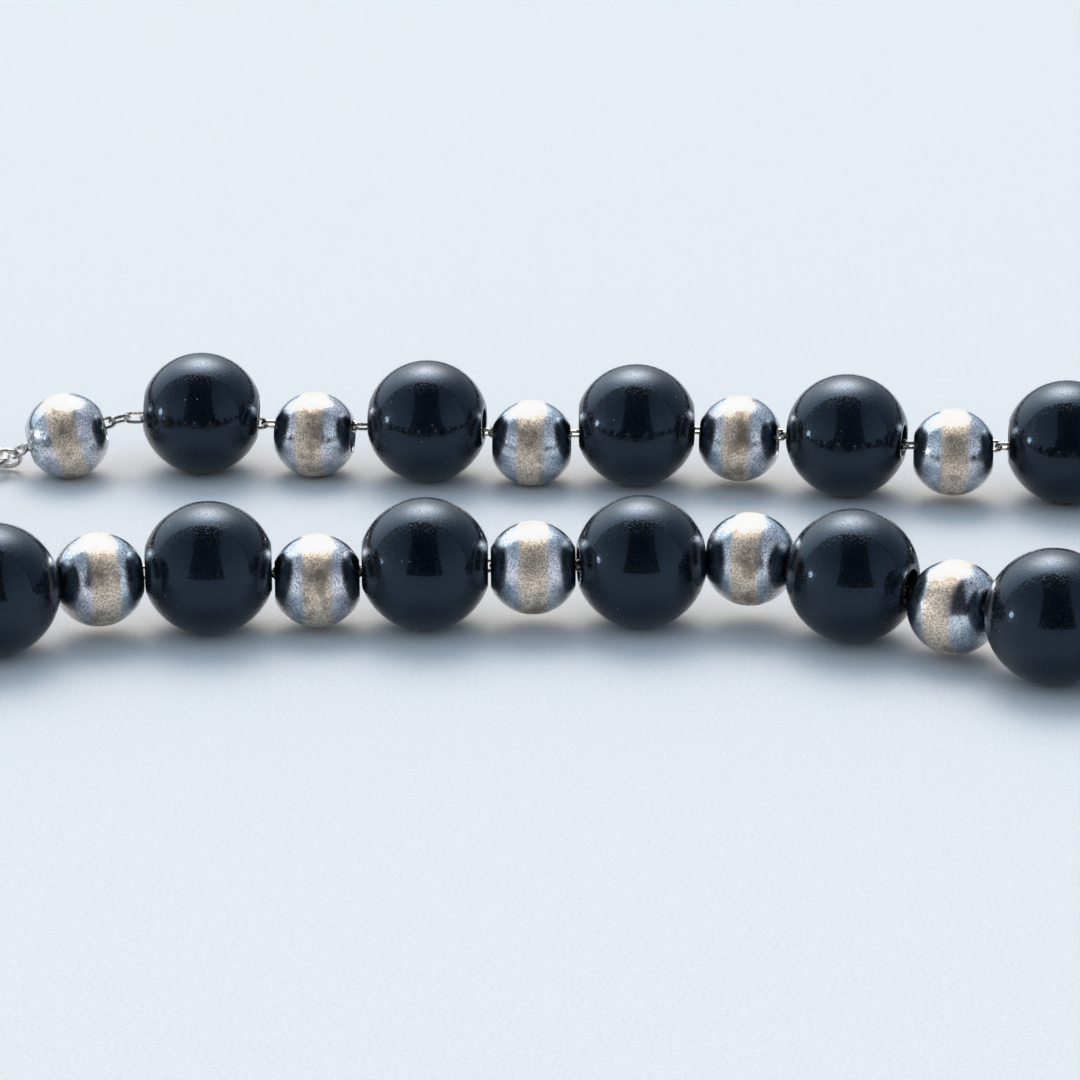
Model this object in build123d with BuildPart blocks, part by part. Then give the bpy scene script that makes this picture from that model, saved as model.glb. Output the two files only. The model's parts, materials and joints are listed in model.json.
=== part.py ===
from build123d import *
from math import asin, cos, degrees, radians, sin, sqrt
import os

# Misbaha: 33 onyx and silver prayer beads on a cable chain, with a leader bead and a tassel.
# The beads lie on a table in a long loop, so Z = 0 is the table and every bead rests on it or hangs
# between its neighbours just above it. Sizes are in millimetres.

# Beads
ONYX_DIAMETER = 10.0
ONYX_LENGTH = 9.4          # between the flats at the drilled poles
ONYX_BORE = 2.5
BORE_CHAMFER = 0.12
SILVER_DIAMETER = 7.0
SILVER_BORE = 2.7
SILVER_WALL = 0.4

# Cable chain
LINK_WIRE = 0.28
LINK_WIDTH = 1.1           # over the wire
LINK_LENGTH = 1.9          # over the wire
LINK_PITCH = 1.26          # shorter than the opening, so that neighbouring wires never touch
TWIST = 45.0               # the links stand at this angle either side of upright
CHAIN_BEND = 3.0           # radius that the chain takes from one bead's bore to the next

# Rings, all of round wire; every ring's radius is to the middle of its wire
RING_WIRE = 0.4
END_RING_RADIUS = 1.15
END_RING_OFFSET = 0.05     # an end ring's centre, out from the joining ring's wire
JOINING_RING_WIRE = 0.8
JOINING_RING_RADIUS = 2.5
JOINING_RING_HEIGHT = 1.3
LARGE_RING_RADIUS = 1.7    # the leader's ring and the tassel's ring, which stand upright
LARGE_RING_OFFSET = 0.6    # the leader ring's centre, out from the joining ring's wire
HAIR_GAP = 0.03            # between two wires that hang on each other

# Leader bead, on an eye pin between two caps
LEADER_DIAMETER = 6.0
LEADER_LENGTH = 14.0
LEADER_END_DIAMETER = 3.6
LEADER_BORE = 0.9
PIN_WIRE = 0.6
EYE_RADIUS = 1.0
EYE_OFFSET = 0.3           # the eye's near wire, out from the leader ring's centre
EYE_GAP = 0.2              # from the eye to the cap
CAP_DIAMETER = 5.0
CAP_TOP_DIAMETER = 1.6
CAP_HEIGHT = 1.6           # from the end of the bead out
CAP_LIP = 0.6              # how far the cap reaches back over the bead's shoulder
CAP_WALL = 0.3
CAP_GAP = 0.1              # from the cap to the bead, which turns inside it

# Tassel
TASSEL_LINKS = (7, 11, 7)
TASSEL_SPREAD = 20.0       # degrees between neighbouring chains
HOOK_STEP = 35.0           # degrees round the tassel ring between neighbouring chains
DROP_DIAMETER = 3.5
DROP_EYE_RADIUS = 0.55
DROP_EYE_WIRE = 0.3
DROP_EYE_SUNK = 0.15       # how far the eye is let into the ball, where it is soldered

# The loop as it lies, from the middle of its front row, +Y away from the front
JOINING_RING_CENTRE = (-46.5, 33.9)
FIRST_RING_ANGLE = 0.0     # where the chain's first end ring sits round the joining ring
LAST_RING_ANGLE = 240.0
LEADER_ANGLE = 180.0
REAR_ROW = [(-42.0, 32.9), (-38.8, 33.2), (-27.8, 34.5), (-18.5, 33.5), (-9.2, 32.5), (-0.6, 31.4),
            (7.9, 31.5), (16.3, 30.8), (24.9, 28.9), (33.5, 27.1), (42.7, 27.3)]
RIGHT_TURN = [(56.0, 19.6), (60.6, 4.4), (53.8, -11.4), (45.0, -14.6)]
FRONT_ROW = [(37.0, -11.0), (30.6, -6.5), (23.3, -2.9), (15.8, 0.4), (7.6, 0.1), (-8.5, -0.4),
             (-24.6, -1.2), (-32.7, -2.3), (-39.6, -5.4)]
LEFT_TURN = [(-47.5, -8.2), (-57.4, 4.3), (-52.8, 20.4)]

# Slack before each bead, from the joining ring on; silver and onyx alternate, silver first
REAR_SLACK = [0.0, 3.15, 1.45, 1.4, 0.7, 0.6, 0.5, 0.9, 0.75, 1.25]
RIGHT_SLACK = [0.6, 0.6, 0.6, 0.6, 0.6, 0.6, 0.65]
FRONT_SLACK = [0.5, 0.25, 0.15, 0.25, 0.27, 0.15, 0.13, 0.13, 0.13, 0.25, 0.3]
LEFT_SLACK = [0.65, 0.85, 0.65, 0.65, 0.65]
SLACK = REAR_SLACK + RIGHT_SLACK + FRONT_SLACK + LEFT_SLACK

# Heights of the silver beads' centres: resting at half their size, or carried by the chain
SILVER_HEIGHTS = [3.5, 3.5, 3.5, 4.1, 4.2, 4.0, 4.0, 4.0, 4.0, 3.9, 5.1, 4.7, 3.8, 4.5, 4.0, 4.0, 3.5]
BEAD_TILTS = {0: 14.0, 1: -3.0}   # degrees that a bead's bore rises along the strand; others are level
ONYX_SHARE = 0.45          # of a step between two bores that the chain takes inside the onyx bead

# The middle of the whole piece, which becomes the origin
CENTRE = (-13.38, 10.72)

UP = Vector(0, 0, 1)
PARALLEL = 0.01            # two unit vectors whose cross product is shorter than this are parallel


def lathe_plane(centre, axis):
    """The plane of a turned section: X is the radius and Y runs along the axis."""
    upright = axis.cross(UP).length < PARALLEL
    radial = Vector(1, 0, 0) if upright else axis.cross(UP).normalized()
    return Plane(centre, x_dir=radial, z_dir=radial.cross(axis))


def heading(angle, rise=0.0):
    """Unit vector at an angle round from +X, climbing by rise degrees."""
    level = cos(radians(rise))
    return Vector(level * cos(radians(angle)), level * sin(radians(angle)), sin(radians(rise)))


def onyx_ball(centre, axis):
    """A polished ball with a flat at each pole and a bore with chamfered mouths."""
    radius = ONYX_DIAMETER / 2
    half = ONYX_LENGTH / 2
    bore = ONYX_BORE / 2
    flat = sqrt(radius**2 - half**2)
    with BuildPart() as ball:
        with BuildSketch(lathe_plane(centre, axis)):
            with BuildLine():
                ThreePointArc((flat, -half), (radius, 0), (flat, half))
                Polyline((flat, half), (bore + BORE_CHAMFER, half), (bore, half - BORE_CHAMFER),
                         (bore, BORE_CHAMFER - half), (bore + BORE_CHAMFER, -half), (flat, -half))
            make_face()
        revolve(axis=Axis(centre, axis))
    return ball


def silver_ball(centre, axis):
    """A hollow ball of sheet silver with a hole at each pole."""
    radius = SILVER_DIAMETER / 2
    inside = radius - SILVER_WALL
    bore = SILVER_BORE / 2
    outer_half = sqrt(radius**2 - bore**2)
    inner_half = sqrt(inside**2 - bore**2)
    with BuildPart() as ball:
        with BuildSketch(lathe_plane(centre, axis)):
            with BuildLine():
                ThreePointArc((bore, -outer_half), (radius, 0), (bore, outer_half))
                Line((bore, outer_half), (bore, inner_half))
                ThreePointArc((bore, inner_half), (inside, 0), (bore, -inner_half))
                Line((bore, -inner_half), (bore, -outer_half))
            make_face()
        revolve(axis=Axis(centre, axis))
    return ball


def wire_ring(centre, axis, radius, wire):
    """A closed ring of round wire."""
    with BuildPart() as ring:
        with BuildSketch(lathe_plane(centre, axis)):
            with Locations((radius, 0)):
                Circle(wire / 2)
        revolve(axis=Axis(centre, axis))
    return ring


def chain_link():
    """One oval link about the origin, long in X and flat in XY."""
    bend = (LINK_WIDTH - LINK_WIRE) / 2
    straight = (LINK_LENGTH - LINK_WIDTH) / 2
    with BuildPart() as link:
        with BuildSketch(Plane.YZ.offset(-straight)):
            with Locations((bend, 0), (-bend, 0)):
                Circle(LINK_WIRE / 2)
        extrude(amount=2 * straight)
        for end, turn in ((straight, -180), (-straight, 180)):
            with BuildSketch(Plane.YZ.offset(end)):
                with Locations((bend, 0)):
                    Circle(LINK_WIRE / 2)
            revolve(axis=Axis((end, 0, 0), (0, 0, 1)), revolution_arc=turn)
    return link.part


def link_place(centre, direction, roll):
    """Where a link goes: along direction, turned by roll degrees from lying flat."""
    direction = direction.normalized()
    side = UP.cross(direction).normalized()
    upward = direction.cross(side)
    normal = upward * cos(radians(roll)) + side * sin(radians(roll))
    return Location(Plane(centre, x_dir=direction, z_dir=normal))


def save(piece, name):
    """Label a finished piece and write it to its own file."""
    piece.label = name
    export_step(piece, f"parts/{name}.step")


# ---------------------------------------------------------------- where everything lies
def on_table(point, height):
    """A point of the layout, moved so that the origin is under the middle of the whole piece."""
    return Vector(point[0] - CENTRE[0], point[1] - CENTRE[1], height)


def round_joining_ring(angle):
    """Centre of an end ring that hangs on the joining ring at this angle."""
    reach = JOINING_RING_RADIUS + END_RING_OFFSET
    return joining_centre + heading(angle) * reach


joining_centre = on_table(JOINING_RING_CENTRE, JOINING_RING_HEIGHT)
first_ring = round_joining_ring(FIRST_RING_ANGLE)
last_ring = round_joining_ring(LAST_RING_ANGLE)

with BuildLine() as layout:
    Spline(*[on_table(point, 0) for point in REAR_ROW + RIGHT_TURN + FRONT_ROW + LEFT_TURN],
           Vector(last_ring.X, last_ring.Y, 0))
route = layout.edge()


class Bead:
    """One bead on the strand: its kind, size, centre and the direction of its bore."""

    def __init__(self, index, travelled):
        self.is_onyx = index % 2 == 1
        self.number = index // 2 + 1
        self.name = f"{'onyx' if self.is_onyx else 'silver'}_bead_{self.number:02d}"
        self.length = ONYX_LENGTH if self.is_onyx else sqrt(SILVER_DIAMETER**2 - SILVER_BORE**2)
        self.travelled = travelled + SLACK[index] + self.length / 2
        height = ONYX_DIAMETER / 2 if self.is_onyx else SILVER_HEIGHTS[index // 2]
        on_route = route.position_at(self.travelled, position_mode=PositionMode.LENGTH)
        along = route.tangent_at(self.travelled, position_mode=PositionMode.LENGTH)
        tilt = radians(BEAD_TILTS.get(index, 0.0))
        self.centre = Vector(on_route.X, on_route.Y, height)
        self.axis = Vector(along.X * cos(tilt), along.Y * cos(tilt), sin(tilt))
        self.end = self.travelled + self.length / 2

    def face(self, side):
        """Middle of the bore's mouth: side -1 is where the chain comes in, 1 where it leaves."""
        return self.centre + self.axis * (side * self.length / 2)


beads = []
for index in range(len(SLACK)):
    beads.append(Bead(index, beads[-1].end if beads else 0.0))


def wire_to_link(wire):
    """From the middle of a wire to the middle of a link that hangs on it."""
    return LINK_LENGTH / 2 - LINK_WIRE - wire / 2 - HAIR_GAP


def chain_corners():
    """Points that the chain runs straight between: one in each bead-to-bead junction."""
    ring_to_link = END_RING_RADIUS + wire_to_link(RING_WIRE)
    first_link = first_ring + (beads[0].face(-1) - first_ring).normalized() * ring_to_link
    corners = [first_link, beads[0].face(-1)]
    for bead, following in zip(beads, beads[1:]):
        share = ONYX_SHARE if bead.is_onyx else 1 - ONYX_SHARE
        corners.append(bead.face(1) * (1 - share) + following.face(-1) * share)
    last_link = last_ring + (beads[-1].face(1) - last_ring).normalized() * ring_to_link
    return corners + [beads[-1].face(1), last_link]


def link_roll(step):
    """How far the link at this step is turned from lying flat: a quarter turn more for every other one."""
    return TWIST + 90 * ((step + 1) % 2)


def strand_links():
    """Places of all the links through the beads, evenly spaced from end ring to end ring."""
    with BuildLine() as chain_line:
        FilletPolyline(*chain_corners(), radius=CHAIN_BEND)
    path = chain_line.wire()
    steps = int(path.length / LINK_PITCH) + 1
    half = 0.5 / steps
    places = []
    for step in range(steps + 1):
        before = path @ max(0.0, step / steps - half)
        after = path @ min(1.0, step / steps + half)
        places.append(link_place(path @ (step / steps), after - before, link_roll(step)))
    return places


os.makedirs("parts", exist_ok=True)

# ---------------------------------------------------------------- beads
for bead in beads:
    ball = onyx_ball(bead.centre, bead.axis) if bead.is_onyx else silver_ball(bead.centre, bead.axis)
    save(ball.part, bead.name)

# ---------------------------------------------------------------- chain through the beads
link = chain_link()
strand_places = strand_links()


def nearest_bead(place):
    """Index of the bead whose centre is nearest to this link."""
    return min(range(len(beads)), key=lambda index: (beads[index].centre - place.position).length)


first = 0
for name, slack in (("rear_chain", REAR_SLACK), ("right_chain", RIGHT_SLACK),
                    ("front_chain", FRONT_SLACK), ("left_chain", LEFT_SLACK)):
    stretch = range(first, first + len(slack))
    with BuildPart() as chain:
        with Locations(*[place for place in strand_places if nearest_bead(place) in stretch]):
            add(link)
    save(chain.part, name)
    first += len(slack)

# ---------------------------------------------------------------- rings where the chain is joined
first_way = beads[0].face(-1) - first_ring
last_way = last_ring - beads[-1].face(1)
for name, centre, way, step in (("first_end_ring", first_ring, first_way, -1),
                                ("last_end_ring", last_ring, last_way, len(strand_places))):
    across = Plane(link_place(centre, way, link_roll(step))).z_dir
    ring = wire_ring(centre, across, END_RING_RADIUS, RING_WIRE)
    save(ring.part, name)

joining_ring = wire_ring(joining_centre, UP, JOINING_RING_RADIUS, JOINING_RING_WIRE)
save(joining_ring.part, "joining_ring")

# ---------------------------------------------------------------- leader bead on its pin
leader_way = heading(LEADER_ANGLE)
leader_side = UP.cross(leader_way)
large_ring_height = LARGE_RING_RADIUS + RING_WIRE / 2
leader_height = LEADER_DIAMETER / 2


def along_leader(distance, height):
    """A point on the leader's line, this far from the middle of the joining ring."""
    level = Vector(joining_centre.X, joining_centre.Y, height)
    return level + leader_way * distance


leader_ring_reach = JOINING_RING_RADIUS + LARGE_RING_OFFSET
first_eye_reach = leader_ring_reach + EYE_OFFSET + EYE_RADIUS
first_cap_reach = first_eye_reach + EYE_RADIUS + PIN_WIRE / 2 + EYE_GAP
bead_middle_reach = first_cap_reach + CAP_HEIGHT + LEADER_LENGTH / 2
second_eye_reach = 2 * bead_middle_reach - first_eye_reach
tassel_ring_reach = 2 * bead_middle_reach - leader_ring_reach
leader_middle = along_leader(bead_middle_reach, leader_height)

leader_ring = wire_ring(along_leader(leader_ring_reach, large_ring_height), leader_side,
                        LARGE_RING_RADIUS, RING_WIRE)
save(leader_ring.part, "leader_ring")

pin_half = bead_middle_reach - first_eye_reach - EYE_RADIUS
with BuildPart() as eye_pin:
    with BuildSketch(Plane(leader_middle - leader_way * pin_half, z_dir=leader_way)):
        Circle(PIN_WIRE / 2)
    extrude(amount=2 * pin_half)
    for reach in (first_eye_reach, second_eye_reach):
        eye_centre = along_leader(reach, leader_height)
        with BuildSketch(lathe_plane(eye_centre, UP)):
            with Locations((EYE_RADIUS, 0)):
                Circle(PIN_WIRE / 2)
        revolve(axis=Axis(eye_centre, UP))
save(eye_pin.part, "eye_pin")

half_length = LEADER_LENGTH / 2
with BuildPart() as leader_bead:
    with BuildSketch(lathe_plane(leader_middle, leader_way)):
        with BuildLine():
            end_radius = LEADER_END_DIAMETER / 2
            ThreePointArc((end_radius, -half_length), (LEADER_DIAMETER / 2, 0), (end_radius, half_length))
            Polyline((end_radius, half_length), (LEADER_BORE / 2, half_length),
                     (LEADER_BORE / 2, -half_length), (end_radius, -half_length))
        make_face()
    revolve(axis=Axis(leader_middle, leader_way))
save(leader_bead.part, "leader_bead")

for name, outward in (("first_cap", -leader_way), ("second_cap", leader_way)):
    outside = CAP_DIAMETER / 2
    inside = outside - CAP_WALL
    top = half_length + CAP_HEIGHT
    under_top = half_length + CAP_GAP
    lip = half_length - CAP_LIP
    with BuildPart() as cap:
        with BuildSketch(lathe_plane(leader_middle, outward)):
            with BuildLine():
                Polyline((CAP_TOP_DIAMETER / 2, top), (PIN_WIRE / 2, top), (PIN_WIRE / 2, under_top),
                         (inside, under_top), (inside, lip), (outside, lip), (outside, half_length))
                TangentArc((outside, half_length), (CAP_TOP_DIAMETER / 2, top), tangent=(0, 1))
            make_face()
        revolve(axis=Axis(leader_middle, outward))
    save(cap.part, name)

# ---------------------------------------------------------------- tassel
tassel_ring_centre = along_leader(tassel_ring_reach, large_ring_height)
tassel_ring = wire_ring(tassel_ring_centre, leader_side, LARGE_RING_RADIUS, RING_WIRE)
save(tassel_ring.part, "tassel_ring")


class TasselChain:
    """One chain of the tassel: where it hooks on the ring, which way it lies, and its drop."""

    def __init__(self, number, links):
        step = number - (len(TASSEL_LINKS) + 1) / 2
        around = radians(-step * HOOK_STEP)
        self.number = number
        spoke = leader_way * cos(around) + UP * sin(around)
        self.hook = tassel_ring_centre + spoke * LARGE_RING_RADIUS
        self.length = wire_to_link(RING_WIRE) + (links - 1) * LINK_PITCH + wire_to_link(DROP_EYE_WIRE)
        climb = asin((DROP_DIAMETER / 2 - self.hook.Z) / self.length)
        self.bearing = LEADER_ANGLE - step * TASSEL_SPREAD
        self.way = heading(self.bearing, degrees(climb))
        self.eye_hook = self.hook + self.way * self.length
        self.places = []
        for index in range(links):
            along = wire_to_link(RING_WIRE) + index * LINK_PITCH
            self.places.append(link_place(self.hook + self.way * along, self.way, 90 * (index % 2)))


tassel_chains = [TasselChain(number, links) for number, links in enumerate(TASSEL_LINKS, start=1)]

for tassel_chain in tassel_chains:
    with BuildPart() as chain:
        with Locations(*tassel_chain.places):
            add(link)
    save(chain.part, f"tassel_chain_{tassel_chain.number}")

    flat_way = heading(tassel_chain.bearing)
    eye_centre = tassel_chain.eye_hook + flat_way * DROP_EYE_RADIUS
    ball_reach = DROP_EYE_RADIUS + DROP_EYE_WIRE / 2 - DROP_EYE_SUNK + DROP_DIAMETER / 2
    with BuildPart() as drop:
        with BuildSketch(lathe_plane(eye_centre, UP.cross(flat_way))):
            with Locations((DROP_EYE_RADIUS, 0)):
                Circle(DROP_EYE_WIRE / 2)
        revolve(axis=Axis(eye_centre, UP.cross(flat_way)))
        with Locations(eye_centre + flat_way * ball_reach):
            Sphere(DROP_DIAMETER / 2)
    save(drop.part, f"tassel_drop_{tassel_chain.number}")
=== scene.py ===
import json
from math import acos, atan2, cos, degrees, exp, pi, radians, sin, sqrt
from random import Random

import bpy
import numpy as np
from mathutils import Matrix, Vector, noise


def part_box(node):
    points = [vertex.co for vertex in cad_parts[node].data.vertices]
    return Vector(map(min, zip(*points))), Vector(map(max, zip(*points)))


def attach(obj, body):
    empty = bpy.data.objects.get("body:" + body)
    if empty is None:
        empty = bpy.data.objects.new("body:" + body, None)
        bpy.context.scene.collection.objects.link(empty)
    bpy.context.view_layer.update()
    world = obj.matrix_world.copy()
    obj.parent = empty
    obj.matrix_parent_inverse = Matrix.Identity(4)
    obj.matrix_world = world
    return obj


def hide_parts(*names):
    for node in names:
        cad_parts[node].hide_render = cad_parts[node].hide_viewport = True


# Looks of the misbaha: polished onyx, oxidised silver and fine silver chain on a pale table, in
# the soft light of a large lit screen over the back of the table. Lengths are in metres.
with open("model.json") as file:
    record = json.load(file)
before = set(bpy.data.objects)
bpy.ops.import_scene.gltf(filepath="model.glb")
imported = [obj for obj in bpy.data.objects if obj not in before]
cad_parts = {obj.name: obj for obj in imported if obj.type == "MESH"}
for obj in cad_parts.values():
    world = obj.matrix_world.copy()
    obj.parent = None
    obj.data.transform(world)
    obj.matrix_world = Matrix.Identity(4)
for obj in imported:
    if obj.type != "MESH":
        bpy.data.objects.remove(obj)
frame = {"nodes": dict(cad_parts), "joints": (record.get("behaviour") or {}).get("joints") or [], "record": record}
bpy.context.view_layer.update()

MM = 0.001
NODES = frame["nodes"]
BODIES = frame["record"]["behaviour"]["bodies"]
JOINTS = {joint["child"]: joint for joint in frame["joints"]}
BODY_OF = {node: body for body, members in BODIES.items() for node in members}

# Turned pieces: steps round them, and the angle in degrees above which an edge is left sharp
LATHE_STEPS = 128
SHARP_ABOVE = 35

# Bead shapes, as shares of the bead's diameter
ONYX_LENGTH = 0.94         # between the flats at the drilled poles
ONYX_BORE = 0.25
ONYX_LIP = 0.012           # radius of the rounded mouth of the bore
SILVER_BORE = 0.386
SILVER_WALL = 0.057
SILVER_LIP = 0.017         # radius of the rounded lip
BAND_WIDTH = 0.31          # the satin band round the middle of a silver bead

# Bead outlines: steps of each arc, and a row of points just inside the edge of an onyx flat,
# as a share of the flat's radius, which keeps the flat's shading even
BALL_STEPS = 72
MOUTH_STEPS = 5
LIP_STEPS = 8
INSIDE_STEPS = 24
FLAT_ROW = 0.94

# How deep the smooth dents of hand work are
ONYX_DENT = 0.004 * MM
SILVER_DENT = 0.012 * MM

# Chain links: rows of points along each straight, as shares of its half length, and steps
# round each bend; the soldered seam swells one row, and the rows beside it a little
STRAIGHT_ROWS = (-1, -0.6, -0.25, 0, 0.25, 0.6)
BEND_STEPS = 10
LINK_AROUND = 10
STRAIGHT_WEAR = 0.25
SEAM_ROW = 3
SEAM_SWELL = {SEAM_ROW - 1: 1.05, SEAM_ROW: 1.22, SEAM_ROW + 1: 1.05}
WELD_GRID = 1e6            # steps a metre; vertices on the same step are one point

# Rings: steps round them, how much their soldered joint swells, and how bright the wire is worn
RING_STEPS = 72
RING_AROUND = 20
JOINT_SWELL = 0.10
RING_WEAR = 0.6

# Eye pin: each eye's wire goes from its free end at EYE_START degrees to EYE_END, and on to the
# shaft's entry, given along and across the shaft in thicknesses of the wire. The rows are along
# half of the shaft, as shares of it.
EYE_STEPS = 30
EYE_START = 12.0
EYE_END = 330.0
EYE_AROUND = 16
SHAFT_ENTRY = (0.1, -0.25)
SHAFT_ROWS = (0.94, 0.6, 0.3, 0.0)

# Caps, as shares of their radius; the hollow is a share of their height
CAP_PIN = 0.12
CAP_TOP = 0.32
CAP_WALL = 0.12
CAP_ROLL = 0.09
CAP_HOLLOW = 0.32
CAP_RIDGE = 0.03
CAP_FLARE = 0.4            # how far the dome's foot stands out over the lip, as a share of the lip
CAP_RIDGES = 4
CAP_WEAR = 0.6             # how much the ridges are polished and the grooves left satin
CAP_STEPS = 48
CAP_AROUND = 96
CAP_LIP_END = 70.0         # where the arc of the rolled lip ends, in degrees
CAP_LIP_STEPS = 10

# Leader bead, as shares of its radius
LEADER_END = 0.6
LEADER_BORE = 0.15
LEADER_EASE = 0.05
LEADER_STEPS = 64

# Tassel drops, as shares of their radius. The solder's rows are (share of the neck, height), up
# to its tip. DROP_BAND is past the edge of the satin band.
DROP_EYE = 0.314
DROP_WIRE = 0.086
DROP_EYE_AROUND = 14
DROP_NECK = 0.16
DROP_SOLDER = [(1.25, 0.99), (1.0, 1.03), (0.8, 1.07)]
DROP_TIP = 1.08
DROP_ARC = (-89.9, 74.0)
DROP_STEPS = 60
DROP_AROUND = 72
DROP_BAND = 2.0
POINTED = 0.001 * MM       # radius of a point that a turned outline comes to

# Where each kind of piece looks into the patterns of its material, and the step between
# neighbours, so that no two pieces are marked alike
BEAD_SEED_STEP = 0.37
LINK_SEED_STEP = 0.61
PIN_SEED = 3.1
CAP_SEED = 5.3
LEADER_SEED = 7.7
DROP_SEED = 9.0

# Camera: aimed at a point on the table, from the front and a little above
CAMERA_AIM = Vector((13.4, 7.4, 0)) * MM
CAMERA_ELEVATION = radians(20.5)
CAMERA_DISTANCE = 340.2 * MM
CAMERA_LENS = 143.4        # millimetres, on a sensor 36 mm wide
CAMERA_CLIP = (0.01, 20.0)

# Tone: the light that shows as white, and points (share of that light, shown) of the shoulder
BRIGHTEST = 6.0
SHOULDER = [(0.9 / BRIGHTEST, 0.9), (1.6 / BRIGHTEST, 0.945)]
ALL_CHANNELS = 3           # the curve that acts on red, green and blue together

# Floor, and the lamp that lifts the shadows; angles in degrees
FLOOR_SIZE = 6.0
FILL_STRENGTH = 4.3
FILL_COLOUR = (0.56, 0.77, 1.05)
FILL_ELEVATION = 50.0
FILL_SPREAD = 140.0

# Screen, room and small lamp: each way is an (azimuth, elevation) in degrees
SCREEN_BASE = (0.30, 0.37, 0.47, 1)
SCREEN_FOOT = (0.03, 0.04, 0.06, 1)
HOT_WAY = (-3, 55)
HOT_FALL = -22.0
HOT_COLOUR = (11.6, 11.0, 10.4, 1)
GLOW_WAY = (-42, 45)
GLOW_FALL = -3.6
GLOW_COLOUR = (1.75, 2.00, 2.25, 1)
ROOM_WAY = (-170, 7)
ROOM_LOW = (0.74, 0.82, 0.93, 1)
ROOM_HIGH = (0.36, 0.42, 0.50, 1)
STAND_COLOUR = (0.025, 0.03, 0.042, 1)
STAND_TAPER = 0.21
FRAME_COLOUR = (0.03, 0.04, 0.05, 1)
LAMP_WAY = (-98, 5.5)
LAMP_COLOUR = (15, 15, 16, 1)
LAMP_RADIUS = (5.5, 3.0)   # where its edge starts and where it is full
BACKDROP = (0.79, 0.85, 0.91, 1)
LIGHT_MAP = 2048           # steps across the map of directions that light is sampled from

# Where parts of the studio start and are full: heights and distances across on a unit sphere
FOOT_EDGE = (0.19, 0.09)
ROOM_FADE = (0.0, 0.9)
ROOM_EDGE = (0.0, 0.02)
STAND_EDGE = (0.55, 0.51)
FRAME_FAR_EDGE = (-0.012, 0.0)
FRAME_NEAR_EDGE = (0.03, 0.018)


# ---------------------------------------------------------------- mesh helpers
def new_object(name, points, faces, place=Matrix.Identity(4)):
    """A mesh object, smooth except over its sharp edges."""
    mesh = bpy.data.meshes.new(name)
    mesh.from_pydata([tuple(p) for p in points], [], faces)
    mesh.validate()
    mesh.shade_smooth()
    mesh.set_sharp_from_angle(angle=radians(SHARP_ABOVE))
    piece = bpy.data.objects.new(name, mesh)
    piece.matrix_world = place
    bpy.context.scene.collection.objects.link(piece)
    return piece


def lathe(outline, around=LATHE_STEPS):
    """Points and faces of a closed outline of (radius, height) turned about Z."""
    points = []
    for radius, height in outline:
        for step in range(around):
            angle = 2 * pi * step / around
            points.append((radius * cos(angle), radius * sin(angle), height))
    faces = []
    rows = len(outline)
    for row in range(rows):
        following = (row + 1) % rows
        for step in range(around):
            after = (step + 1) % around
            faces.append((row * around + step, row * around + after,
                          following * around + after, following * around + step))
    return points, faces


def arc(centre, radius, start, end, steps):
    """Points of an arc in (radius, height), from one angle to the other in degrees."""
    angles = [radians(start + (end - start) * step / steps) for step in range(steps + 1)]
    return [(centre[0] + radius * cos(a), centre[1] + radius * sin(a)) for a in angles]


def tube(path, radii, closed, around):
    """Points and faces of a round wire along a path, with a radius at each point."""
    path = [Vector(p) for p in path]
    count = len(path)
    ways = []
    for index in range(count):
        before = path[index - 1] if index or closed else path[0]
        after = path[(index + 1) % count] if index < count - 1 or closed else path[-1]
        ways.append((after - before).normalized())
    side = ways[0].orthogonal().normalized()
    points = []
    for place, way, radius in zip(path, ways, radii):
        side = (side - way * side.dot(way)).normalized()
        other = way.cross(side)
        for step in range(around):
            angle = 2 * pi * step / around
            points.append(place + (side * cos(angle) + other * sin(angle)) * radius)
    faces = []
    for row in range(count if closed else count - 1):
        following = (row + 1) % count
        for step in range(around):
            after = (step + 1) % around
            faces.append((row * around + step, row * around + after,
                          following * around + after, following * around + step))
    if not closed:
        faces.append(tuple(reversed(range(around))))
        faces.append(tuple(range((count - 1) * around, count * around)))
    return points, faces


def mark(piece, name, values):
    """Store a number at each vertex for the materials to read: one for all of them, or one for each."""
    layer = piece.data.attributes.new(name, "FLOAT", "POINT")
    layer.data.foreach_set("value", np.full(len(piece.data.vertices), values, np.float32))


def stand_for(piece, *nodes):
    """The piece replaces these CAD nodes and moves with the body that they are on."""
    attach(piece, BODY_OF[nodes[0]])
    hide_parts(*nodes)


def dress(piece, node, material, **marks):
    """Give a piece its marks and its material, and let it stand for a CAD node."""
    for name, values in marks.items():
        mark(piece, name, values)
    piece.data.materials.append(material)
    stand_for(piece, node)


def middle(node):
    """Centre of a CAD node's box."""
    low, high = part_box(node)
    return (low + high) / 2


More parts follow.
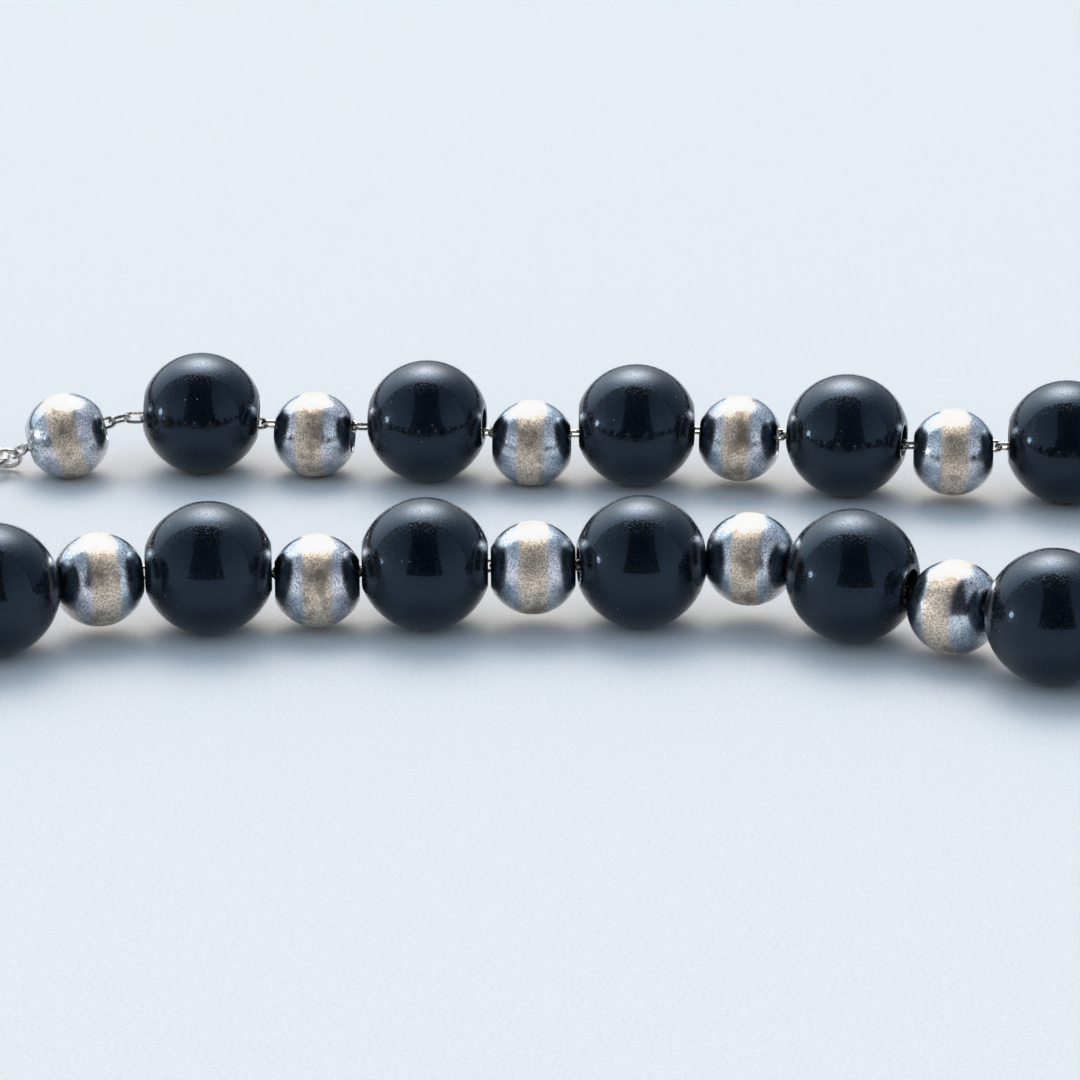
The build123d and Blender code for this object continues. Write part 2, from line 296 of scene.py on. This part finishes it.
# ---------------------------------------------------------------- material helpers
class Graph:
    """Adds shader nodes to a tree. A value given to a socket is a number, a colour or an output."""

    def __init__(self, tree):
        self.tree = tree
        tree.nodes.clear()

    def node(self, kind, settings=(), **inputs):
        """A node with its inputs given by socket name, with _ for a space, or as i0, i1 by number."""
        made = self.tree.nodes.new("ShaderNode" + kind)
        for name, value in dict(settings).items():
            setattr(made, name, value)
        for name, value in inputs.items():
            by_number = name[1:].isdigit()
            socket = made.inputs[int(name[1:]) if by_number else name.replace("_", " ")]
            self.feed(socket, value)
        return made

    def feed(self, socket, value):
        """Link the socket to an output, or set its value."""
        if isinstance(value, bpy.types.NodeSocket):
            self.tree.links.new(value, socket)
        else:
            socket.default_value = value

    def math(self, operation, a, b=0.0):
        return self.node("Math", {"operation": operation}, i0=a, i1=b).outputs[0]

    def add(self, a, b):
        return self.math("ADD", a, b)

    def subtract(self, a, b):
        return self.math("SUBTRACT", a, b)

    def multiply(self, a, b):
        return self.math("MULTIPLY", a, b)

    def vector(self, operation, a, b=(0, 0, 0), output=0):
        return self.node("VectorMath", {"operation": operation}, i0=a, i1=b).outputs[output]

    def dot(self, a, b):
        return self.vector("DOT_PRODUCT", a, b, output="Value")

    def step(self, value, start, end, low=0.0, high=1.0):
        """Goes smoothly from low to high as value goes from start to end."""
        made = self.node("MapRange", {"interpolation_type": "SMOOTHSTEP"}, Value=value,
                         From_Min=start, From_Max=end, To_Min=low, To_Max=high)
        return made.outputs["Result"]

    def mix(self, share, a, b, blend="MIX"):
        """Colour a, going to colour b as share goes to 1."""
        made = self.node("Mix", {"data_type": "RGBA", "blend_type": blend}, i0=share, i6=a, i7=b)
        return made.outputs[2]

    def noise(self, place, seed, scale, detail=2.0, roughness=0.5):
        made = self.node("TexNoise", {"noise_dimensions": "4D"}, Vector=place, W=seed,
                         Scale=scale, Detail=detail, Roughness=roughness)
        return made.outputs[0]

    def shifted(self, place, seed):
        """The place moved by the seed, so that every piece shows another part of a pattern of cells."""
        return self.vector("ADD", place, self.node("CombineXYZ", {}, X=seed, Y=seed, Z=seed).outputs[0])

    def cells(self, place, scale):
        """Distance from the middle of the nearest cell, and a random number for that cell."""
        made = self.node("TexVoronoi", {}, Vector=place, Scale=scale)
        return made.outputs["Distance"], made.outputs["Color"]

    def bump(self, height, distance, strength=1.0):
        made = self.node("Bump", {}, Height=height, Distance=distance, Strength=strength)
        return made.outputs[0]

    def attribute(self, name):
        return self.node("Attribute", {"attribute_name": name}).outputs["Fac"]


def new_material(name):
    material = bpy.data.materials.new(name)
    material.use_nodes = True
    return material, Graph(material.node_tree)


def surface(graph, **inputs):
    """Ends a material in a Principled shader."""
    shader = graph.node("BsdfPrincipled", {}, **inputs)
    graph.node("OutputMaterial", {}, Surface=shader.outputs[0])


def grey(level):
    return (level, level, level, 1)


# ---------------------------------------------------------------- onyx
# In all the materials, a pattern's scale is in features a metre, a relief is a height, and a
# range is where a pattern's effect starts and is full, with the least and most effect if given.
FINE_GRAIN = 7000
ONYX_CLOUDS = 260
ONYX_CLOUD_RANGE = (0.35, 0.7)
ONYX_DARK = (0.0006, 0.0009, 0.0014, 1)
ONYX_LIGHT = (0.0018, 0.0026, 0.004, 1)
ONYX_SPECK_RANGE = (0.54, 0.64)
ONYX_ROUGHNESS = 0.02
ONYX_SPECK_ROUGHNESS = 0.30
ONYX_RELIEF = 0.005 * MM
ONYX_GLOSS = {
    "IOR": 1.46,
    "Specular_Tint": (0.40, 0.66, 1.0, 1),
    "Coat_Weight": 0.18,
    "Coat_Roughness": 0.30,
    "Coat_IOR": 1.5,
}
DUST_CELLS = 1500
DUST_SIZE = (0.07, 0.03)
DUST_CHANCE = (0.72, 0.74)
DUST_COLOUR = (0.30, 0.33, 0.36, 1)
DUST_ROUGHNESS = 0.5


def onyx_material():
    """Black stone with a hard polish, a faint haze, fine worn specks and a little dust."""
    material, graph = new_material("polished_onyx")
    place = graph.node("TexCoord").outputs["Object"]
    seed = graph.attribute("seed")

    # Colour: faint clouds in the black, and grains of dust on some of the cells
    cloud = graph.noise(place, seed, ONYX_CLOUDS, detail=3)
    body = graph.mix(graph.step(cloud, *ONYX_CLOUD_RANGE), ONYX_DARK, ONYX_LIGHT)
    off_grain, chance = graph.cells(graph.shifted(place, seed), DUST_CELLS)
    dust = graph.multiply(graph.step(off_grain, *DUST_SIZE), graph.step(chance, *DUST_CHANCE))
    colour = graph.mix(dust, body, DUST_COLOUR)

    # Polish: worn rough in fine specks, and rough where there is dust
    speck = graph.step(graph.noise(place, seed, FINE_GRAIN, detail=2), *ONYX_SPECK_RANGE)
    wear = graph.add(graph.multiply(speck, ONYX_SPECK_ROUGHNESS), ONYX_ROUGHNESS)
    roughness = graph.add(wear, graph.multiply(dust, DUST_ROUGHNESS))
    relief = graph.bump(speck, ONYX_RELIEF)
    surface(graph, Base_Color=colour, Roughness=roughness, Normal=relief, **ONYX_GLOSS)
    return material


# ---------------------------------------------------------------- silver
SILVER_PATCHES = 700
SILVER_TINTS = 330
SILVER_GRAIN_RANGE = (0.42, 0.56)
SILVER_TINT_RANGE = (0.38, 0.62)
POLISHED_COOL = (0.70, 0.80, 0.86, 1)
POLISHED_WARM = (0.88, 0.81, 0.84, 1)
POLISHED_GRAIN = (0.34, 0.38, 0.43, 1)
POLISHED_SMUDGE = (0.26, 0.30, 0.36, 1)
POLISHED_SMUDGE_RANGE = (0.50, 0.68, 0.0, 0.6)
SATIN = (0.98, 0.85, 0.70, 1)
SATIN_GRAIN = (0.53, 0.42, 0.33, 1)
SATIN_SMUDGE = (0.36, 0.28, 0.21, 1)
SATIN_SMUDGE_RANGE = (0.50, 0.66, 0.0, 0.8)
BAND_RAGGED = 1.1
BAND_EDGE = (1.25, 0.75)

# Pits and craters: cells a metre, their size in cells, and which of the cells have one
PIT_CELLS = 5200
PIT_SIZE = (0.45, 0.62, 0.09, 0.234)
PIT_CHANCE = (0.72, 0.74)
CRATER_CELLS = 1500
CRATER_SIZE = (0.15, 0.11)
CRATER_CHANCE = (0.80, 0.82)
PIT_COLOUR = (0.08, 0.065, 0.05, 1)
PIT_STAIN = 0.85

POLISHED_ROUGHNESS = 0.20
SATIN_ROUGHNESS = 0.52
GRAIN_ROUGHNESS = 0.18
SILVER_RELIEF = 0.006 * MM
GRAIN_SHARE = 0.35         # of the relief
PIT_SHARE = 0.6


def pits(graph, place, patch):
    """1 in small pits, which are larger in the patches, and in a few round craters; 0 elsewhere."""
    off_pit, chance = graph.cells(place, PIT_CELLS)
    inside = graph.math("LESS_THAN", off_pit, graph.step(patch, *PIT_SIZE))
    pit = graph.multiply(inside, graph.step(chance, *PIT_CHANCE))
    off_crater, chance = graph.cells(place, CRATER_CELLS)
    crater = graph.multiply(graph.step(off_crater, *CRATER_SIZE), graph.step(chance, *CRATER_CHANCE))
    return graph.math("MAXIMUM", pit, crater)


def silver_material():
    """Oxidised silver, polished blue-grey, with a warm satin band round the middle and fine pits."""
    material, graph = new_material("oxidised_silver")
    place = graph.node("TexCoord").outputs["Object"]
    seed = graph.attribute("seed")
    fine = graph.noise(place, seed, FINE_GRAIN, detail=3, roughness=0.65)
    patch = graph.noise(place, seed, SILVER_PATCHES, detail=3)
    tint = graph.noise(place, seed, SILVER_TINTS, detail=2)
    grain = graph.step(fine, *SILVER_GRAIN_RANGE)
    uneven = graph.subtract(fine, 0.5)
    pit = pits(graph, graph.shifted(place, seed), patch)

    # The band mark is 1 at the band's edge, which the fine grain makes ragged
    ragged = graph.add(graph.attribute("band"), graph.multiply(uneven, BAND_RAGGED))
    band = graph.step(ragged, *BAND_EDGE)

    polished = graph.mix(graph.step(tint, *SILVER_TINT_RANGE), POLISHED_COOL, POLISHED_WARM)
    polished = graph.mix(grain, POLISHED_GRAIN, polished)
    polished = graph.mix(graph.step(patch, *POLISHED_SMUDGE_RANGE), polished, POLISHED_SMUDGE)
    satin = graph.mix(grain, SATIN_GRAIN, SATIN)
    satin = graph.mix(graph.step(patch, *SATIN_SMUDGE_RANGE), satin, SATIN_SMUDGE)
    colour = graph.mix(band, polished, satin)
    colour = graph.mix(graph.multiply(pit, PIT_STAIN), colour, PIT_COLOUR)

    rough = graph.mix(band, grey(POLISHED_ROUGHNESS), grey(SATIN_ROUGHNESS))
    roughness = graph.add(rough, graph.multiply(uneven, GRAIN_ROUGHNESS))
    height = graph.subtract(graph.multiply(fine, GRAIN_SHARE), graph.multiply(pit, PIT_SHARE))
    relief = graph.bump(height, SILVER_RELIEF)
    surface(graph, Base_Color=colour, Metallic=1.0, Roughness=roughness, Normal=relief)
    return material


# ---------------------------------------------------------------- wire
WIRE_GRAIN = 6000
WIRE_BRIGHT_RANGE = (0.2, 0.8)
WIRE_TARNISHED = (0.44, 0.42, 0.39, 1)
WIRE_BRIGHT = (0.88, 0.85, 0.80, 1)
WIRE_ROUGHNESS_RANGE = (0.3, 0.7, 0.14, 0.30)
WIRE_RELIEF = 0.003 * MM


def wire_material():
    """Drawn silver wire: bright where links rub, and grey with tarnish elsewhere."""
    material, graph = new_material("silver_wire")
    place = graph.node("TexCoord").outputs["Object"]
    seed = graph.attribute("seed")
    worn = graph.attribute("worn")
    fine = graph.noise(place, seed, WIRE_GRAIN, detail=3, roughness=0.6)
    bright = graph.step(graph.add(worn, graph.subtract(fine, 0.5)), *WIRE_BRIGHT_RANGE)
    colour = graph.mix(bright, WIRE_TARNISHED, WIRE_BRIGHT)
    roughness = graph.step(fine, *WIRE_ROUGHNESS_RANGE)
    relief = graph.bump(fine, WIRE_RELIEF)
    surface(graph, Base_Color=colour, Metallic=1.0, Roughness=roughness, Normal=relief)
    return material


# ---------------------------------------------------------------- beads
def onyx_outline(diameter):
    """Closed outline of a drilled ball: sphere, flat, rounded mouth and bore."""
    radius = diameter / 2
    half = radius * ONYX_LENGTH
    flat = sqrt(radius**2 - half**2)
    bore = radius * ONYX_BORE
    lip = diameter * ONYX_LIP
    edge = degrees(acos(flat / radius))
    outline = arc((0, 0), radius, -edge, edge, BALL_STEPS)
    outline += [(flat * FLAT_ROW, half), (bore + lip, half)]
    outline += arc((bore + lip, half - lip), lip, 90, 180, MOUTH_STEPS)[1:]
    outline += [(bore, half * share) for share in (0.5, 0, -0.5)]
    outline += arc((bore + lip, lip - half), lip, 180, 270, MOUTH_STEPS)
    outline += [(flat * FLAT_ROW, -half)]
    return outline


def silver_outline(diameter):
    """Closed outline of a hollow ball with a rounded lip at each hole."""
    radius = diameter / 2
    inside = radius - diameter * SILVER_WALL
    bore = radius * SILVER_BORE
    lip = diameter * SILVER_LIP
    lip_height = sqrt((radius - lip)**2 - (bore + lip)**2)
    outer = degrees(atan2(lip_height, bore + lip))
    inner = degrees(acos(bore / inside))
    outline = arc((0, 0), radius, -outer, outer, BALL_STEPS)
    outline += arc((bore + lip, lip_height), lip, outer, 180, LIP_STEPS)[1:]
    outline += arc((0, 0), inside, inner, -inner, INSIDE_STEPS)
    outline += arc((bore + lip, -lip_height), lip, 180, 360 - outer, LIP_STEPS)[:-1]
    return outline


def along(axis, centre):
    """Puts a turned piece's Z along an axis, with its origin at centre."""
    return Matrix.Translation(centre) @ Vector(axis).to_track_quat("Z", "Y").to_matrix().to_4x4()


def dented(points, seed, size, depth):
    """The points moved in and out by smooth noise, as hand work leaves a ball."""
    shift = Vector((seed, seed * 2, seed * 3))
    moved = []
    for point in points:
        point = Vector(point)
        moved.append(point * (1 + noise.noise(point / size + shift) * depth / point.length))
    return moved


def make_bead(node, number, material, outline, dent):
    """One bead as a turned piece with Z along its bore, dented by hand work."""
    low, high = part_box(node)
    diameter = high.z - low.z
    points, faces = lathe(outline(diameter))
    points = dented(points, number, diameter / 2, dent)
    piece = new_object(node + "_look", points, faces, along(JOINTS[node]["axis"], middle(node)))
    half_band = diameter * BAND_WIDTH / 2
    from_middle = [abs(point.z) / half_band for point in points]
    dress(piece, node, material, seed=number * BEAD_SEED_STEP, band=from_middle)


def make_beads(onyx, silver):
    """Every bead; its number is its node's place in the order of the names."""
    for number, node in enumerate(sorted(NODES)):
        if node.startswith("onyx_bead"):
            make_bead(node, number, onyx, onyx_outline, ONYX_DENT)
        elif node.startswith("silver_bead"):
            make_bead(node, number, silver, silver_outline, SILVER_DENT)


# ---------------------------------------------------------------- chain
def solids_of(node):
    """The vertices of each separate solid in a CAD node."""
    mesh = NODES[node].data
    places = np.zeros(len(mesh.vertices) * 3, np.float32)
    mesh.vertices.foreach_get("co", places)
    places = places.reshape(-1, 3)
    edges = np.zeros(len(mesh.edges) * 2, np.int32)
    mesh.edges.foreach_get("vertices", edges)
    _, welded = np.unique(np.round(places * WELD_GRID).astype(np.int64), axis=0, return_inverse=True)
    ends = welded.reshape(-1)[edges.reshape(-1, 2)]
    # Joined points pass on their lowest label, until every solid has a single one
    label = np.arange(welded.max() + 1)
    while True:
        before = label.copy()
        lowest = np.minimum(label[ends[:, 0]], label[ends[:, 1]])
        np.minimum.at(label, ends[:, 0], lowest)
        np.minimum.at(label, ends[:, 1], lowest)
        label = label[label]
        if (label == before).all():
            break
    solid = label[welded.reshape(-1)]
    return [places[solid == found] for found in np.unique(solid)]


def axes_of(points):
    """Centre, axes from longest to shortest as the columns of a rotation, and the size along each."""
    _, axes = np.linalg.eigh(np.cov((points - points.mean(0)).T))
    axes = axes[:, ::-1].copy()
    if np.linalg.det(axes) < 0:
        axes[:, 2] *= -1
    inside = points @ axes
    low, high = inside.min(0), inside.max(0)
    return axes @ ((low + high) / 2), axes, high - low


def link_shape(length, width, wire):
    """One oval link in its own frame: points, faces and how worn each point is."""
    bend = (width - wire) / 2
    straight = (length - width) / 2
    path = []
    worn = []
    for side in (1, -1):
        for share in STRAIGHT_ROWS:
            path.append((straight * share * side, -bend * side, 0))
            worn.append(STRAIGHT_WEAR)
        for step in range(BEND_STEPS + 1):
            angle = radians(-90 + 180 * step / BEND_STEPS)
            path.append((side * (straight + bend * cos(angle)), side * bend * sin(angle), 0))
            worn.append(cos(angle))
    radii = [wire / 2 * SEAM_SWELL.get(row, 1) for row in range(len(path))]
    points, faces = tube(path, radii, closed=True, around=LINK_AROUND)
    return np.array(points), faces, np.repeat(worn, LINK_AROUND)


def make_chain(node, material):
    """Finer links, each with its soldered seam, where the CAD links are."""
    points = []
    faces = []
    worn = []
    seeds = []
    chance = Random(node)
    for number, solid in enumerate(solids_of(node)):
        centre, axes, size = axes_of(solid)
        shape, link_faces, link_worn = link_shape(*size.tolist())
        # About half of the links lie the other way round, so their seams are on both sides
        turn = axes * np.array([1, 1, 1] if chance.random() < 0.5 else [-1, -1, 1])
        first = len(points) * len(shape)
        points.append(shape @ turn.T + centre)
        faces += [tuple(first + corner for corner in face) for face in link_faces]
        worn.append(link_worn)
        seeds.append(np.full(len(shape), number * LINK_SEED_STEP))
    piece = new_object(node + "_look", np.concatenate(points), faces)
    dress(piece, node, material, seed=np.concatenate(seeds), worn=np.concatenate(worn))


# ---------------------------------------------------------------- rings, leader and tassel
def make_ring(node, material):
    """A ring of round wire with its soldered joint, where the CAD ring is."""
    centre, axes, size = axes_of(solids_of(node)[0])
    wire = float(size[2])
    radius = float(size[0] - wire) / 2
    path = []
    radii = []
    for step in range(RING_STEPS):
        angle = 2 * pi * (step + 0.5) / RING_STEPS
        path.append((radius * cos(angle), radius * sin(angle), 0))
        from_joint = min(step, RING_STEPS - 1 - step)
        radii.append(wire / 2 * (1 + JOINT_SWELL * exp(-from_joint)))
    points, faces = tube(path, radii, closed=True, around=RING_AROUND)
    points = np.array(points) @ axes.T + centre
    piece = new_object(node + "_look", points, faces)
    dress(piece, node, material, seed=radius / MM, worn=RING_WEAR)


def make_eye_pin(node, material):
    """One wire, bent into an eye at each end; its second end just meets the shaft."""
    low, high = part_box(node)
    size = high - low
    wire = size.z
    radius = (size.y - wire) / 2
    shaft = size.x / 2 - wire / 2 - 2 * radius
    half = []
    for step in range(EYE_STEPS + 1):
        angle = radians(EYE_START + (EYE_END - EYE_START) * step / EYE_STEPS)
        half.append(Vector((-shaft - radius + radius * cos(angle), radius * sin(angle), 0)))
    half.append(Vector((-shaft + wire * SHAFT_ENTRY[0], wire * SHAFT_ENTRY[1], 0)))
    half += [Vector((-shaft * share, 0, 0)) for share in SHAFT_ROWS]
    other = [Vector((-point.x, -point.y, 0)) for point in reversed(half[:-1])]
    path = half + other
    points, faces = tube(path, [wire / 2] * len(path), closed=False, around=EYE_AROUND)
    piece = new_object(node + "_look", points, faces, Matrix.Translation(middle(node)))
    dress(piece, node, material, seed=PIN_SEED, worn=RING_WEAR)


def make_cap(node, outward, material):
    """A domed cap with a rolled lip and fine turned ridges; its top points outward."""
    low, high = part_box(node)
    height = high.x - low.x
    radius = (high.z - low.z) / 2
    pin = radius * CAP_PIN
    top = radius * CAP_TOP
    inside = radius * (1 - CAP_WALL)
    lip = radius * CAP_ROLL
    under = height * CAP_HOLLOW
    outline = arc((radius - lip, lip), lip, -90, CAP_LIP_END, CAP_LIP_STEPS)
    for step in range(CAP_STEPS + 1):
        share = step / CAP_STEPS
        angle = share * pi / 2
        ridge = radius * CAP_RIDGE * abs(sin(pi * CAP_RIDGES * share))
        dome = radius - lip - top - ridge + lip * CAP_FLARE
        outline.append((top + dome * cos(angle), 2 * lip + (height - 2 * lip) * sin(angle)))
    outline += [(pin, height), (pin, under), (inside, under), (inside, 0)]
    points, faces = lathe(outline, CAP_AROUND)
    foot = middle(node) - Vector(outward) * height / 2
    piece = new_object(node + "_look", points, faces, along(outward, foot))
    bands = [1 + CAP_WEAR * sin(pi * CAP_RIDGES * point[2] / height) for point in points]
    dress(piece, node, material, seed=CAP_SEED + outward[0], band=bands)


def make_leader(node, material):
    """The long barrel bead, with its ends and bore eased."""
    low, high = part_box(node)
    half = (high.x - low.x) / 2
    radius = (high.z - low.z) / 2
    end = radius * LEADER_END
    bore = radius * LEADER_BORE
    ease = radius * LEADER_EASE
    bulge = radius - end
    sweep = (half**2 + bulge**2) / (2 * bulge)
    tilt = degrees(atan2(half - ease, sweep - bulge))
    outline = arc((radius - sweep, 0), sweep, -tilt, tilt, LEADER_STEPS)
    outline += [(end - ease, half), (bore + ease, half), (bore, half - ease)]
    outline += [(bore, ease - half), (bore + ease, -half), (end - ease, -half)]
    points, faces = lathe(outline)
    piece = new_object(node + "_look", points, faces, along((1, 0, 0), middle(node)))
    dress(piece, node, material, seed=LEADER_SEED)


def drop_outline(radius):
    """Outline of a ball with a neck of solder that comes to a point."""
    neck = radius * DROP_NECK
    outline = arc((0, 0), radius, *DROP_ARC, DROP_STEPS)
    outline += [(neck * share, radius * height) for share, height in DROP_SOLDER]
    outline.append((POINTED, radius * DROP_TIP))
    return outline


def make_drop(node, number, material):
    """A silver ball with a small neck of solder under its wire eye, which hangs at the joint."""
    hook = Vector(JOINTS[node]["pos_m"])
    low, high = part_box(node)
    radius = (high.z - low.z) / 2
    solid = solids_of(node)[0]
    far = Vector(solid[np.argmax(np.linalg.norm(solid - np.array(hook), axis=1))])
    level = Vector((far.x - hook.x, far.y - hook.y, 0))
    reach = level.length
    way = level.normalized()
    centre = Vector((hook.x, hook.y, low.z + radius)) + way * (reach - radius)
    ball, faces = lathe(drop_outline(radius), DROP_AROUND)

    eye_radius = radius * DROP_EYE
    eye_height = reach - radius - eye_radius
    ring = []
    for step in range(RING_STEPS):
        angle = 2 * pi * step / RING_STEPS
        ring.append((eye_radius * cos(angle), 0, eye_height + eye_radius * sin(angle)))
    radii = [radius * DROP_WIRE] * RING_STEPS
    eye, eye_faces = tube(ring, radii, closed=True, around=DROP_EYE_AROUND)
    first = len(ball)
    faces += [tuple(first + corner for corner in face) for face in eye_faces]

    # Z runs from the ball to the hook, and the eye stands upright
    up = Vector((0, 0, 1))
    turn = Matrix((up, up.cross(-way), -way)).transposed().to_4x4()
    piece = new_object(node + "_look", ball + eye, faces, Matrix.Translation(centre) @ turn)
    dress(piece, node, material, seed=DROP_SEED + number, band=DROP_BAND)


# ---------------------------------------------------------------- stage
FLOOR_FIBRES = 3600
FLOOR_DARK = (0.370, 0.352, 0.330, 1)
FLOOR_LIGHT = (0.425, 0.402, 0.376, 1)
FLOOR_COLOUR_RANGE = (0.3, 0.7)
FLOOR_ROUGHNESS_RANGE = (0.3, 0.7, 0.8, 0.95)
FLOOR_RELIEF = 0.08 * MM
FLOOR_RELIEF_STRENGTH = 0.8
FLOOR_SPECULAR = 0.1


def make_floor():
    """A large sheet of pale card with a fine tooth."""
    half = FLOOR_SIZE / 2
    corners = [(-half, -half, 0), (half, -half, 0), (half, half, 0), (-half, half, 0)]
    floor = new_object("floor", corners, [(0, 1, 2, 3)])
    material, graph = new_material("pale_card")
    place = graph.node("TexCoord").outputs["Object"]
    fibre = graph.noise(place, 0.0, FLOOR_FIBRES, detail=4, roughness=0.7)
    colour = graph.mix(graph.step(fibre, *FLOOR_COLOUR_RANGE), FLOOR_DARK, FLOOR_LIGHT)
    roughness = graph.step(fibre, *FLOOR_ROUGHNESS_RANGE)
    relief = graph.bump(fibre, FLOOR_RELIEF, FLOOR_RELIEF_STRENGTH)
    surface(graph, Base_Color=colour, Roughness=roughness, Normal=relief, Specular_IOR_Level=FLOOR_SPECULAR)
    floor.data.materials.append(material)


def bearing(azimuth, elevation):
    """Unit vector to a light: azimuth 0 is behind the table and 90 is to the right."""
    turn = radians(azimuth)
    rise = radians(elevation)
    return (sin(turn) * cos(rise), cos(turn) * cos(rise), sin(rise))


def screen_light(graph, way, height):
    """The screen: brightest in front of its lamp, with a wide glow to the left and a dark foot."""
    off_lamp = graph.subtract(1.0, graph.dot(way, bearing(*HOT_WAY)))
    off_glow = graph.subtract(1.0, graph.dot(way, bearing(*GLOW_WAY)))
    hot = graph.math("EXPONENT", graph.multiply(off_lamp, HOT_FALL))
    glow = graph.math("EXPONENT", graph.multiply(off_glow, GLOW_FALL))
    screen = graph.mix(1.0, graph.mix(hot, grey(0), HOT_COLOUR),
                       graph.mix(glow, SCREEN_BASE, GLOW_COLOUR), blend="ADD")
    return graph.mix(graph.step(height, *FOOT_EDGE), screen, SCREEN_FOOT)


def room_light(graph, across, height):
    """The room: pale walls each side of the dark camera stand, which narrows upwards."""
    room = graph.mix(graph.step(height, *ROOM_FADE), ROOM_LOW, ROOM_HIGH)
    beside = graph.add(graph.math("ABSOLUTE", across), graph.multiply(height, STAND_TAPER))
    return graph.mix(graph.step(beside, *STAND_EDGE), room, STAND_COLOUR)


def make_light():
    """A lit screen over the back half of the table, a dim room in front, and a small lamp at the left."""
    world = bpy.data.worlds.new("studio")
    bpy.context.scene.world = world
    world.use_nodes = True
    graph = Graph(world.node_tree)
    way = graph.node("TexCoord").outputs["Generated"]
    parts = graph.node("SeparateXYZ", {}, Vector=way).outputs
    screen = screen_light(graph, way, parts["Z"])
    room = room_light(graph, parts["X"], parts["Z"])

    # A thin dark frame runs between the screen and the room
    forward = graph.dot(way, bearing(*ROOM_WAY))
    light = graph.mix(graph.step(forward, *ROOM_EDGE), screen, room)
    frame_line = graph.multiply(graph.step(forward, *FRAME_FAR_EDGE), graph.step(forward, *FRAME_NEAR_EDGE))
    light = graph.mix(frame_line, light, FRAME_COLOUR)

    lamp_edge, lamp_full = [cos(radians(angle)) for angle in LAMP_RADIUS]
    lamp = graph.step(graph.dot(way, bearing(*LAMP_WAY)), lamp_edge, lamp_full)
    light = graph.mix(lamp, light, LAMP_COLOUR)

    # The camera sees a plain pale backdrop, while the pieces are lit by the studio
    seen = graph.node("LightPath").outputs["Is Camera Ray"]
    colour = graph.mix(seen, light, BACKDROP)
    background = graph.node("Background", {}, Color=colour, Strength=1.0)
    graph.node("OutputWorld", {}, Surface=background.outputs[0])
    world.cycles.sampling_method = "MANUAL"
    world.cycles.sample_map_resolution = LIGHT_MAP


def make_fill():
    """A very wide soft lamp from the front that lifts the shadows and shows in no reflection."""
    data = bpy.data.lights.new("fill", "SUN")
    data.energy = FILL_STRENGTH
    data.color = FILL_COLOUR
    data.angle = radians(FILL_SPREAD)
    lamp = bpy.data.objects.new("fill", data)
    lamp.rotation_mode = "QUATERNION"
    lamp.rotation_quaternion = Vector(bearing(180, FILL_ELEVATION)).to_track_quat("Z", "Y")
    lamp.visible_glossy = False
    bpy.context.scene.collection.objects.link(lamp)


def make_camera():
    """A long lens in front of the table, aimed a little down at the beads."""
    data = bpy.data.cameras.new("camera")
    data.lens = CAMERA_LENS
    data.clip_start, data.clip_end = CAMERA_CLIP
    camera = bpy.data.objects.new("camera", data)
    back = Vector((0, -cos(CAMERA_ELEVATION), sin(CAMERA_ELEVATION)))
    camera.location = CAMERA_AIM + back * CAMERA_DISTANCE
    camera.rotation_mode = "QUATERNION"
    camera.rotation_quaternion = (-back).to_track_quat("-Z", "Y")
    bpy.context.scene.collection.objects.link(camera)
    bpy.context.scene.camera = camera


def soften_highlights():
    """Plain colours up to near white, and a gentle shoulder above it."""
    settings = bpy.context.scene.view_settings
    settings.view_transform = "Standard"
    settings.use_curve_mapping = True
    mapping = settings.curve_mapping
    mapping.white_level = (BRIGHTEST, BRIGHTEST, BRIGHTEST)
    shoulder = mapping.curves[ALL_CHANNELS]
    for shown in SHOULDER:
        shoulder.points.new(*shown)
    for point in shoulder.points:
        point.handle_type = "VECTOR"
    mapping.update()


# ---------------------------------------------------------------- everything
soften_highlights()
make_camera()
make_light()
make_fill()
make_floor()
onyx = onyx_material()
silver = silver_material()
wire = wire_material()
make_beads(onyx, silver)
for node in NODES:
    if "chain" in node:
        make_chain(node, wire)
for node in NODES:
    if node.endswith("ring"):
        make_ring(node, wire)
make_eye_pin("eye_pin", wire)
make_cap("first_cap", (1, 0, 0), silver)
make_cap("second_cap", (-1, 0, 0), silver)
make_leader("leader_bead", onyx)
for number in (1, 2, 3):
    make_drop(f"tassel_drop_{number}", number, silver)
